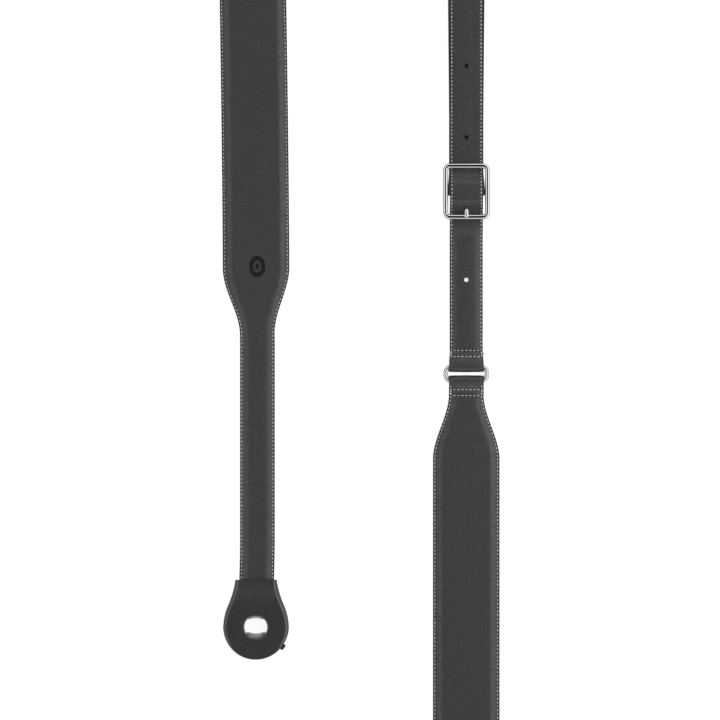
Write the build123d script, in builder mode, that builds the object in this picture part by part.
"""Padded leather shoulder strap with a pin buckle, an oval ring and a quick-release lock at each end.

The strap lies on a table in a long U. Millimetres; X to the right, Y along the strap, Z up.
The origin is at the bottom centre of the whole strap's box.
"""

import math
import os

from build123d import *

# Leather plies and widths
WIDE = 50.4
NARROW = 26.3
BELT = 26.0
TONGUE = 25.0
LINING = 1.2
COVER = 1.8
RIM = 5.0
FOAM_WIDE = 2.4
FOAM_NARROW = 0.9
PLY = 1.3

# The U: two straight legs, a quarter twist at the top of each, and a standing half circle
LEG_X = 79.5
TWIST = 65.0
TWIST_STEPS = 8
TAPER_STEPS = 10

# Buckle
BUCKLE_WIDTH = 35.4
BUCKLE_HEIGHT = 42.4
BUCKLE_WIRE = 1.8
BUCKLE_CORNER = 4.2
BAR = 1.7
BAR_Z = 5.4
FRAME_Z = 8.7
PRONG = 1.6

# Oval ring
RING_WIDTH = 34.5
RING_PITCH = 10.1
RING_WIRE = 1.75
RING_CORNER = 4.0
EYE = 2.5
EYE_WALL = 1.0
RING_Z = EYE + EYE_WALL

# Quick-release lock
LOCK_RADIUS = 24.9
LOCK_MOUTH = 35.2
LOCK_MOUTH_HALF = 15.7
LOCK_BACK = 1.5
HOUSING_RADIUS = 22.0
HOUSING_TOP = 8.6
HOUSING_SPLIT = 5.0
COVER_TOP = 10.2
HOLE = 8.7
COLLAR_HOLE = 8.95
BACK_HOLE = 9.2
JAW_ARC = 14.0
UPPER_JAW_HALF = 6.1
LOWER_JAW_HALF = 6.9
JAW_BOTTOM = 3.4
JAW_TOP = 6.6
UPPER_JAW_REACH = 2.1
LOWER_JAW_REACH = 3.8
BUTTON_ANGLE = -37.0
BUTTON_WIDTH = 4.8
BUTTON_PROUD = 2.2

# Stations along Y, counted from the middle of the oval ring
TONGUE_HOLES = (71.0, 124.8, 178.6, 232.4)
BUCKLE_Y = 137.6
TONGUE_TIP = 300.0
LEG_TOP = 303.0
FRONT_TAPER = (30.0, 80.0)
FRONT_LOCK = -191.1
REAR_TAPER = (-15.6, -64.6)
REAR_TAIL = (-266.0, -316.0)
REAR_LOCK = -364.6

WIDE_DEEP = LINING + FOAM_WIDE + COVER
ARC_REACH = LEG_TOP + TWIST + LEG_X + WIDE_DEEP / 2
REAR_REACH = LOCK_RADIUS - REAR_LOCK
RING_Y = (REAR_REACH - ARC_REACH) / 2
ARC_Y = RING_Y + LEG_TOP + TWIST
BUCKLE = RING_Y + BUCKLE_Y

os.makedirs("parts", exist_ok=True)


def smooth(share):
    """An S-curve from 0 to 1."""
    return share * share * (3 - 2 * share)


def foam_deep(width):
    """The padding grows thicker as the strap grows wider."""
    share = (width - NARROW) / (WIDE - NARROW)
    return FOAM_NARROW + (FOAM_WIDE - FOAM_NARROW) * share


def station(leg, y, turn, width):
    """The plane across the strap at y, turned up on its outer edge by turn degrees; leg is -1 or 1."""
    lift = math.sin(math.radians(turn))
    flat = math.cos(math.radians(turn))
    deep = LINING + foam_deep(width) + COVER
    origin = (leg * (LEG_X - deep / 2 * lift), RING_Y + y, width / 2 * lift)
    return Plane(origin=origin, x_dir=(flat, 0, -leg * lift), z_dir=(0, -1, 0))


def taper(leg, start, end, first, last):
    """Stations of a flat S-shaped change of width."""
    stations = []
    for step in range(TAPER_STEPS + 1):
        share = step / TAPER_STEPS
        width = first + (last - first) * smooth(share)
        stations.append((station(leg, start + (end - start) * share, 0, width), width))
    return stations


def twist(leg, first, last):
    """Stations from the flat leg up to the standing arc."""
    stations = []
    for step in range(TWIST_STEPS + 1):
        share = step / TWIST_STEPS
        width = first + (last - first) * smooth(share)
        plane = station(leg, LEG_TOP + TWIST * share, 90 * share, width)
        stations.append((plane, width))
    return stations


def cover_section(width):
    """Top leather: skived edges, a bevel and a flat crown over the foam."""
    half = width / 2
    edge = 2 * LINING
    crown = LINING + foam_deep(width) + COVER
    foam_top = LINING + foam_deep(width)
    return [
        (-half, LINING),
        (-half, edge),
        (RIM - half, crown),
        (half - RIM, crown),
        (half, edge),
        (half, LINING),
        (half - RIM, LINING),
        (half - RIM, foam_top),
        (RIM - half, foam_top),
        (RIM - half, LINING),
    ]


def foam_section(width):
    """Foam inside the top leather."""
    half = width / 2 - RIM
    top = LINING + foam_deep(width)
    return [(-half, LINING), (-half, top), (half, top), (half, LINING)]


def lining_section(width):
    """Flat lining under the whole width."""
    half = width / 2
    return [(-half, 0), (-half, LINING), (half, LINING), (half, 0)]


NECK_END = FRONT_LOCK + HOUSING_RADIUS + 0.6
FRONT_RUN = (
    [(station(-1, NECK_END, 0, NARROW), NARROW)]
    + taper(-1, *FRONT_TAPER, NARROW, WIDE)
    + twist(-1, WIDE, WIDE)
)
BACK_RUN = twist(1, BELT + 2, WIDE)
REAR_END = REAR_LOCK + HOUSING_RADIUS + 0.6
REAR_RUN = (
    taper(1, *REAR_TAPER, NARROW, WIDE)
    + taper(1, *REAR_TAIL, WIDE, NARROW)
    + [(station(1, REAR_END, 0, NARROW), NARROW)]
)


def front_layer(section):
    """One layer of the front strap: neck, wide pad, twist, half circle, twist and taper."""
    with BuildPart() as layer:
        for run in (FRONT_RUN, BACK_RUN):
            for plane, width in run:
                with BuildSketch(plane):
                    with BuildLine():
                        Polyline(*section(width), close=True)
                    make_face()
            loft(ruled=True)
        with BuildSketch(station(-1, LEG_TOP + TWIST, 90, WIDE)):
            with BuildLine():
                Polyline(*section(WIDE), close=True)
            make_face()
        revolve(axis=Axis((0, ARC_Y, 0), (0, 0, -1)), revolution_arc=180)
    return layer.part


def rear_layer(section):
    """One layer of the rear strap: taper, wide pad, taper and neck."""
    with BuildPart() as layer:
        for plane, width in REAR_RUN:
            with BuildSketch(plane):
                with BuildLine():
                    Polyline(*section(width), close=True)
                make_face()
        loft(ruled=True)
    return layer.part


def finish(part, name):
    """Label one finished piece and write it."""
    part.label = name
    export_step(part, f"parts/{name}.step")


for name, section in (("leather", cover_section), ("foam", foam_section), ("lining", lining_section)):
    finish(front_layer(section), f"shoulder_{name}")
for name, section in (("foam", foam_section), ("lining", lining_section)):
    finish(rear_layer(section), f"rear_{name}")

# Fixed belt: one strip folded round the buckle's bar and sewn to itself, with a slot for the prong
BELT_DEEP = 3.0
SLOT = 5.4
BELT_EYE = BAR + 0.06
BELT_EYE_WALL = 1.4
SIDE = Plane.YZ.offset(LEG_X)

with BuildPart() as fixed_belt:
    with BuildSketch(SIDE):
        with BuildLine():
            Polyline(
                (RING_Y + LEG_TOP - 0.1, 0),
                (BUCKLE + 9, 0),
                (BUCKLE, BAR_Z - BELT_EYE - BELT_EYE_WALL),
                (BUCKLE, BAR_Z + BELT_EYE + BELT_EYE_WALL),
                (BUCKLE + 12, BELT_DEEP),
                (RING_Y + LEG_TOP - 0.1, BELT_DEEP),
                close=True,
            )
        make_face()
        with Locations((BUCKLE, BAR_Z)):
            Circle(BELT_EYE + BELT_EYE_WALL)
            Circle(BELT_EYE, mode=Mode.SUBTRACT)
    extrude(amount=BELT / 2 + 1, both=True)
    with BuildSketch():
        with BuildLine():
            Polyline(
                (LEG_X - BELT / 2 - 1, RING_Y + LEG_TOP),
                (LEG_X - BELT / 2, BUCKLE + 70),
                (LEG_X - BELT / 2, BUCKLE - 5),
                (LEG_X + BELT / 2, BUCKLE - 5),
                (LEG_X + BELT / 2, BUCKLE + 70),
                (LEG_X + BELT / 2 + 1, RING_Y + LEG_TOP),
                close=True,
            )
        make_face()
    extrude(amount=COVER_TOP, mode=Mode.INTERSECT)
    with BuildSketch():
        with Locations((LEG_X, BUCKLE + 1)):
            SlotOverall(22, SLOT, rotation=90)
    extrude(amount=COVER_TOP, mode=Mode.SUBTRACT)
finish(fixed_belt.part, "fixed_belt")

# Buckle: a rounded frame of wire, and a lower bar across its middle on two short posts
def wire_loop(width, height, corner, wire, middle):
    """A closed loop of round wire in a flat rounded rectangle; width and height are outside sizes."""
    side = width / 2 - wire
    top = height / 2 - wire
    with BuildPart() as loop:
        with BuildLine(Plane(origin=middle)) as path:
            FilletPolyline((side, top), (side, -top), (-side, -top), (-side, top), radius=corner, close=True)
        with BuildSketch(Plane(origin=path.line @ 0, z_dir=path.line % 0)):
            Circle(wire)
        sweep()
    return loop.part


BUCKLE_SIDE = BUCKLE_WIDTH / 2 - BUCKLE_WIRE

with BuildPart() as buckle_frame:
    add(wire_loop(BUCKLE_WIDTH, BUCKLE_HEIGHT, BUCKLE_CORNER, BUCKLE_WIRE, (LEG_X, BUCKLE, FRAME_Z)))
    with BuildSketch(SIDE):
        with Locations((BUCKLE, BAR_Z)):
            Circle(BAR)
    extrude(amount=BUCKLE_SIDE, both=True)
    with BuildSketch(Plane.XY.offset(BAR_Z - BAR)):
        with Locations((LEG_X - BUCKLE_SIDE, BUCKLE), (LEG_X + BUCKLE_SIDE, BUCKLE)):
            Circle(BAR - 0.1)
    extrude(amount=FRAME_Z - BAR_Z + BAR)
finish(buckle_frame.part, "buckle_frame")

# Prong: an eye round the bar and a bent pin that rises through the tongue onto the frame
PRONG_BENDS = ((-2.4, 5.4), (-8.5, 6.0), (-15.4, 12.0), (-20.2, 12.2))
PRONG_EYE_HALF = 2.1

with BuildPart() as buckle_prong:
    with BuildLine(SIDE) as prong_line:
        FilletPolyline(*[(BUCKLE + y, z) for y, z in PRONG_BENDS], radius=2.5)
    with BuildSketch(Plane(origin=prong_line.line @ 0, z_dir=prong_line.line % 0)):
        Circle(PRONG)
    sweep()
    with BuildSketch(SIDE):
        with Locations((BUCKLE, BAR_Z)):
            Circle(BAR + PRONG)
    extrude(amount=PRONG_EYE_HALF, both=True)
    with BuildSketch(SIDE):
        with Locations((BUCKLE, BAR_Z)):
            Circle(BAR + 0.05)
    extrude(amount=BUCKLE_WIDTH, both=True, mode=Mode.SUBTRACT)
finish(buckle_prong.part, "buckle_prong")

# Tongue: two plies that lie on the belt, rise over the bar and come down to the oval ring
TONGUE_LOW = BELT_DEEP + 0.2
TONGUE_HIGH = BAR_Z + BELT_EYE + BELT_EYE_WALL + 0.15
RISE_END = 17.0
CREST_START = 4.0
CREST_END = -6.0
DROP_END = -15.5
STEP_START = -24.0
STEP_END = -36.0
FOLD = 20.0
PRONG_SLOT_LONG = 6.0
PRONG_SLOT_WIDE = 4.0
PRONG_SLOT_RISE = 0.4
HOLE_RADIUS = 1.9


def tongue_side(lift, end):
    """The side outline of one ply, lift above the tongue's underside, from its tip to end."""
    rise = [(BUCKLE + RISE_END, TONGUE_LOW), (BUCKLE + CREST_START, TONGUE_HIGH)]
    drop = [(BUCKLE + CREST_END, TONGUE_HIGH), (BUCKLE + DROP_END, TONGUE_LOW)]
    step = [(BUCKLE + STEP_START, TONGUE_LOW), (BUCKLE + STEP_END, 0)]
    tip = RING_Y + TONGUE_TIP
    with BuildLine() as outline:
        for height in (lift, lift + PLY):
            last = (tip, TONGUE_LOW + height)
            for (y1, z1), (y2, z2) in (rise, drop, step):
                third = (y2 - y1) / 3
                Line(last, (y1, z1 + height))
                Bezier(
                    (y1, z1 + height),
                    (y1 + third, z1 + height),
                    (y2 - third, z2 + height),
                    (y2, z2 + height),
                )
                last = (y2, z2 + height)
            Line(last, (end, height))
        Line((tip, TONGUE_LOW + lift), (tip, TONGUE_LOW + lift + PLY))
        Line((end, lift), (end, lift + PLY))
    return outline.line


def tongue_plan():
    """The tongue from above, with a rounded tip."""
    with BuildSketch() as plan:
        with BuildLine():
            half = TONGUE / 2
            tip = RING_Y + TONGUE_TIP
            end = RING_Y + RING_PITCH / 2 - EYE - EYE_WALL
            Line((LEG_X - half, tip - half), (LEG_X - half, BUCKLE + STEP_END))
            Line((LEG_X - half, BUCKLE + STEP_END), (LEG_X - NARROW / 2, end))
            Line((LEG_X - NARROW / 2, end), (LEG_X + NARROW / 2, end))
            Line((LEG_X + NARROW / 2, end), (LEG_X + half, BUCKLE + STEP_END))
            Line((LEG_X + half, BUCKLE + STEP_END), (LEG_X + half, tip - half))
            ThreePointArc((LEG_X + half, tip - half), (LEG_X, tip), (LEG_X - half, tip - half))
        make_face()
    return plan.sketch


PRONG_RISE = Vector(0, PRONG_BENDS[2][0] - PRONG_BENDS[1][0], PRONG_BENDS[2][1] - PRONG_BENDS[1][1])
PRONG_MIDDLE = (
    LEG_X,
    BUCKLE + (PRONG_BENDS[1][0] + PRONG_BENDS[2][0]) / 2,
    (PRONG_BENDS[1][1] + PRONG_BENDS[2][1]) / 2,
)
PRONG_PLANE = Plane(origin=PRONG_MIDDLE, x_dir=(1, 0, 0), z_dir=PRONG_RISE)


def tongue_ply(lift, end):
    """One ply of the tongue with its row of holes and the dragged hole round the prong."""
    with BuildPart() as ply:
        with BuildSketch(SIDE):
            add(tongue_side(lift, end).edges())
            make_face()
        extrude(amount=NARROW / 2, both=True)
        with BuildSketch():
            add(tongue_plan())
        extrude(amount=FRAME_Z + COVER_TOP, mode=Mode.INTERSECT)
        with BuildSketch():
            with Locations(*[(LEG_X, RING_Y + y) for y in TONGUE_HOLES if abs(y - BUCKLE_Y) > RISE_END]):
                Circle(HOLE_RADIUS)
        extrude(amount=FRAME_Z, mode=Mode.SUBTRACT)
        with BuildSketch(PRONG_PLANE):
            with Locations((0, PRONG_SLOT_RISE)):
                SlotOverall(PRONG_SLOT_LONG, PRONG_SLOT_WIDE, rotation=90)
        extrude(amount=6, both=True, mode=Mode.SUBTRACT)
    return ply.part


def fold_side(side, length, thick, low):
    """Side outline of leather folded round one long side of the ring; side is 1 above it and -1 below."""
    bar = RING_Y + side * RING_PITCH / 2
    outer = EYE + EYE_WALL
    with BuildSketch() as fold:
        with BuildLine():
            Polyline(
                (bar, 0),
                (bar + side * length, low),
                (bar + side * length, thick),
                (bar, 2 * outer),
                close=True,
            )
        make_face()
        with Locations((bar, RING_Z)):
            Circle(outer)
            Circle(EYE, mode=Mode.SUBTRACT)
    return fold.sketch


with BuildPart() as tongue_leather:
    add(tongue_ply(PLY, RING_Y + FOLD))
    with BuildSketch(SIDE):
        add(fold_side(1, FOLD - RING_PITCH / 2, 2 * PLY, 0))
    extrude(amount=NARROW / 2 - 0.2, both=True)
finish(tongue_leather.part, "tongue_leather")
finish(tongue_ply(0, RING_Y + FOLD), "tongue_lining")

# Rear leather is folded round the other long side of the ring and sewn under itself
with BuildPart() as rear_leather:
    add(rear_layer(cover_section))
    with BuildSketch(SIDE):
        add(fold_side(-1, -REAR_TAPER[0] - RING_PITCH / 2, LINING + FOAM_NARROW + COVER, 0))
    extrude(amount=NARROW / 2 - 0.2, both=True)
finish(rear_leather.part, "rear_leather")

RING_HEIGHT = RING_PITCH + 2 * RING_WIRE

with BuildPart() as oval_ring:
    add(wire_loop(RING_WIDTH, RING_HEIGHT, RING_CORNER, RING_WIRE, (LEG_X, RING_Y, RING_Z)))
finish(oval_ring.part, "oval_ring")

# Lock: a round housing with two jaws and a push button, between two leather covers
COVER_SIDE = ((LOCK_MOUTH_HALF, LOCK_MOUTH), (16.7, 28.9), (19.6, 19.8), (23.1, 10.7), (LOCK_RADIUS, 0))
COVER_BEVEL = 1.8
MOUTH_TOP = 6.0
SLOPE_START = 20.0
NECK_DEEP = LINING + FOAM_NARROW + COVER
CAVITY = 20.4
SHELL_BEVEL = 0.8
COLLAR = 10.4
FLOOR = 3.3
ROOF = 6.7
SCREWS = (8.0, 172.0, 222.0)
SCREW_CIRCLE = 16.0
SCREW = 1.0
SCREW_HEAD = 1.9
POST = 2.7
UPPER_JAW_END = 14.5
LOWER_JAW_END = 15.0
BUTTON_REST = 18.2
FLANGE_HALF = 3.6
FLANGE_DEEP = 1.6
BUTTON_LOW = 3.6
BUTTON_HIGH = 6.4
CAP_START = 26.0
GAP = 0.2


def teardrop(x, y, z):
    """The cover's outline: a circle that runs up into a straight mouth."""
    with BuildSketch(Plane(origin=(x, y, z))) as outline:
        with BuildLine():
            Spline(*COVER_SIDE, tangents=((0.08, -1), (0, -1)))
            Spline(*[(-a, b) for a, b in COVER_SIDE], tangents=((-0.08, -1), (0, -1)))
            ThreePointArc((LOCK_RADIUS, 0), (0, -LOCK_RADIUS), (-LOCK_RADIUS, 0))
            Line((-LOCK_MOUTH_HALF, LOCK_MOUTH), (LOCK_MOUTH_HALF, LOCK_MOUTH))
        make_face()
    return outline.sketch


def lock_front_cover(x, y):
    """Moulded leather over the housing, with the mouth for the neck and a window for the button."""
    with BuildPart() as cover:
        add(teardrop(x, y, LOCK_BACK))
        extrude(amount=COVER_TOP - LOCK_BACK)
        chamfer(cover.faces().sort_by(Axis.Z)[-1].edges(), length=COVER_BEVEL)
        with BuildSketch(Plane.YZ.offset(x)):
            with BuildLine():
                Polyline(
                    (y + SLOPE_START, COVER_TOP),
                    (y + LOCK_MOUTH + 1, MOUTH_TOP),
                    (y + LOCK_MOUTH + 1, COVER_TOP),
                    close=True,
                )
            make_face()
        extrude(amount=LOCK_RADIUS, both=True, mode=Mode.SUBTRACT)
        with BuildSketch(Plane(origin=(x, y, LOCK_BACK))):
            Circle(HOUSING_RADIUS + 0.05)
        extrude(amount=HOUSING_TOP - LOCK_BACK, mode=Mode.SUBTRACT)
        with BuildSketch(Plane(origin=(x, y, 0))):
            Circle(HOLE)
        extrude(amount=COVER_TOP, mode=Mode.SUBTRACT)
        with BuildSketch(Plane(origin=(x, y, 0))):
            with Locations((0, (LOCK_MOUTH + SLOPE_START) / 2 + 1)):
                Rectangle(NARROW + GAP, LOCK_MOUTH - SLOPE_START + 2)
        extrude(amount=NECK_DEEP + 0.1, mode=Mode.SUBTRACT)
        with BuildSketch(Plane(origin=(x, y, FLOOR - 0.1))):
            with PolarLocations(LOCK_RADIUS, 1, BUTTON_ANGLE):
                Rectangle(2 * BUTTON_WIDTH, BUTTON_WIDTH + 0.8)
        extrude(amount=ROOF - FLOOR + 0.2, mode=Mode.SUBTRACT)
    return cover.part


def lock_back_cover(x, y):
    """Flat leather under the housing, cut away where the neck lies."""
    with BuildPart() as cover:
        add(teardrop(x, y, 0))
        extrude(amount=LOCK_BACK)
        with BuildSketch(Plane(origin=(x, y, 0))):
            Circle(BACK_HOLE)
            with Locations((0, HOUSING_RADIUS + LOCK_MOUTH / 2)):
                Rectangle(NARROW + GAP, LOCK_MOUTH)
        extrude(amount=LOCK_BACK, mode=Mode.SUBTRACT)
    return cover.part


def lock_shell(x, y, low, high, hollow, plate, mouth):
    """Half of the housing; hollow and plate are (bottom, top) heights, and mouth the plate's hole radius."""
    with BuildPart() as shell:
        with BuildSketch(Plane(origin=(x, y, low))):
            Circle(HOUSING_RADIUS)
        extrude(amount=high - low)
        outer = shell.faces().sort_by(Axis.Z)[-1 if plate[1] == high else 0]
        chamfer(outer.edges(), length=SHELL_BEVEL)
        for (bottom, top), radius in ((plate, mouth), (hollow, COLLAR_HOLE)):
            with BuildSketch(Plane(origin=(x, y, bottom))):
                Circle(radius)
            extrude(amount=top - bottom, mode=Mode.SUBTRACT)
        with BuildSketch(Plane(origin=(x, y, hollow[0]))):
            Circle(CAVITY)
            Circle(COLLAR, mode=Mode.SUBTRACT)
            with PolarLocations(HOUSING_RADIUS, 1, BUTTON_ANGLE):
                Rectangle(4 * FLANGE_DEEP, BUTTON_WIDTH + GAP)
            with PolarLocations(COLLAR - 1, 2, 90):
                Rectangle(2 * COLLAR - 2 * HOLE + 4, 2 * LOWER_JAW_HALF + GAP)
            for angle in SCREWS:
                with PolarLocations(SCREW_CIRCLE, 1, angle):
                    Circle(POST, mode=Mode.SUBTRACT)
        extrude(amount=hollow[1] - hollow[0], mode=Mode.SUBTRACT)
        for bottom, radius in ((LOCK_BACK + 0.5, SCREW), (ROOF, SCREW_HEAD)):
            with BuildSketch(Plane(origin=(x, y, bottom))):
                for angle in SCREWS:
                    with PolarLocations(SCREW_CIRCLE, 1, angle):
                        Circle(radius)
            extrude(amount=HOUSING_TOP, mode=Mode.SUBTRACT)
    return shell.part


def lock_screws(x, y):
    """Three screws from above, each a separate solid."""
    with BuildPart() as screws:
        with BuildSketch(Plane(origin=(x, y, LOCK_BACK + 0.6))):
            for angle in SCREWS:
                with PolarLocations(SCREW_CIRCLE, 1, angle):
                    Circle(SCREW - 0.05)
        extrude(amount=ROOF - LOCK_BACK - 0.5)
        with BuildSketch(Plane(origin=(x, y, ROOF + 0.05))):
            for angle in SCREWS:
                with PolarLocations(SCREW_CIRCLE, 1, angle):
                    Circle(SCREW_HEAD - 0.1)
        extrude(amount=HOUSING_TOP - ROOF - 0.15)
    return screws.part


def lock_jaw(x, y, side, reach, half, end):
    """A sliding jaw with a hollow lip; side is 1 for the jaw above the hole and -1 below."""
    lip = HOLE - reach
    corner = lip - JAW_ARC + math.sqrt(JAW_ARC**2 - half**2)
    with BuildPart() as jaw:
        with BuildSketch(Plane(origin=(x, y, JAW_BOTTOM))):
            with BuildLine():
                ThreePointArc((-half, side * corner), (0, side * lip), (half, side * corner))
                Line((half, side * corner), (half, side * end))
                Line((half, side * end), (-half, side * end))
                Line((-half, side * end), (-half, side * corner))
            make_face()
        extrude(amount=JAW_TOP - JAW_BOTTOM)
        lips = jaw.edges().filter_by(GeomType.CIRCLE).sort_by(Axis.Z)[-1]
        chamfer(lips, length=0.9)
    return jaw.part


def along_button(x, y, z):
    """The plane at the lock's middle with its own x axis out along the button."""
    turn = math.radians(BUTTON_ANGLE)
    return Plane(origin=(x, y, z), x_dir=(math.cos(turn), math.sin(turn), 0), z_dir=(0, 0, 1))


def lock_slider(x, y):
    """The button's slide, with a flange that keeps it in the housing."""
    with BuildPart() as slider:
        with BuildSketch(along_button(x, y, BUTTON_LOW)):
            with Locations(((BUTTON_REST + CAP_START) / 2, 0)):
                Rectangle(CAP_START - BUTTON_REST, BUTTON_WIDTH - GAP)
            with Locations((BUTTON_REST + FLANGE_DEEP / 2, 0)):
                Rectangle(FLANGE_DEEP, 2 * FLANGE_HALF)
        extrude(amount=BUTTON_HIGH - BUTTON_LOW)
    return slider.part


def lock_button(x, y):
    """The button's bright cap at the rim."""
    with BuildPart() as button:
        with BuildSketch(along_button(x, y, BUTTON_LOW)):
            with Locations(((CAP_START + LOCK_RADIUS + BUTTON_PROUD) / 2, 0)):
                Rectangle(LOCK_RADIUS + BUTTON_PROUD - CAP_START, BUTTON_WIDTH)
        extrude(amount=BUTTON_HIGH - BUTTON_LOW)
    return button.part


LOWER_HALF = (LOCK_BACK, HOUSING_SPLIT, (FLOOR, HOUSING_SPLIT), (LOCK_BACK, FLOOR), BACK_HOLE)
UPPER_HALF = (HOUSING_SPLIT, HOUSING_TOP, (HOUSING_SPLIT, ROOF), (ROOF, HOUSING_TOP), HOLE)

for end_name, lock_x, lock_y in (("front", -LEG_X, RING_Y + FRONT_LOCK), ("rear", LEG_X, RING_Y + REAR_LOCK)):
    pieces = {
        "lock_front_cover": lock_front_cover(lock_x, lock_y),
        "lock_back_cover": lock_back_cover(lock_x, lock_y),
        "lock_lower_shell": lock_shell(lock_x, lock_y, *LOWER_HALF),
        "lock_upper_shell": lock_shell(lock_x, lock_y, *UPPER_HALF),
        "lock_screws": lock_screws(lock_x, lock_y),
        "lock_upper_jaw": lock_jaw(lock_x, lock_y, 1, UPPER_JAW_REACH, UPPER_JAW_HALF, UPPER_JAW_END),
        "lock_lower_jaw": lock_jaw(lock_x, lock_y, -1, LOWER_JAW_REACH, LOWER_JAW_HALF, LOWER_JAW_END),
        "lock_slider": lock_slider(lock_x, lock_y),
        "lock_button": lock_button(lock_x, lock_y),
    }
    for name, piece in pieces.items():
        finish(piece, f"{end_name}_{name}")
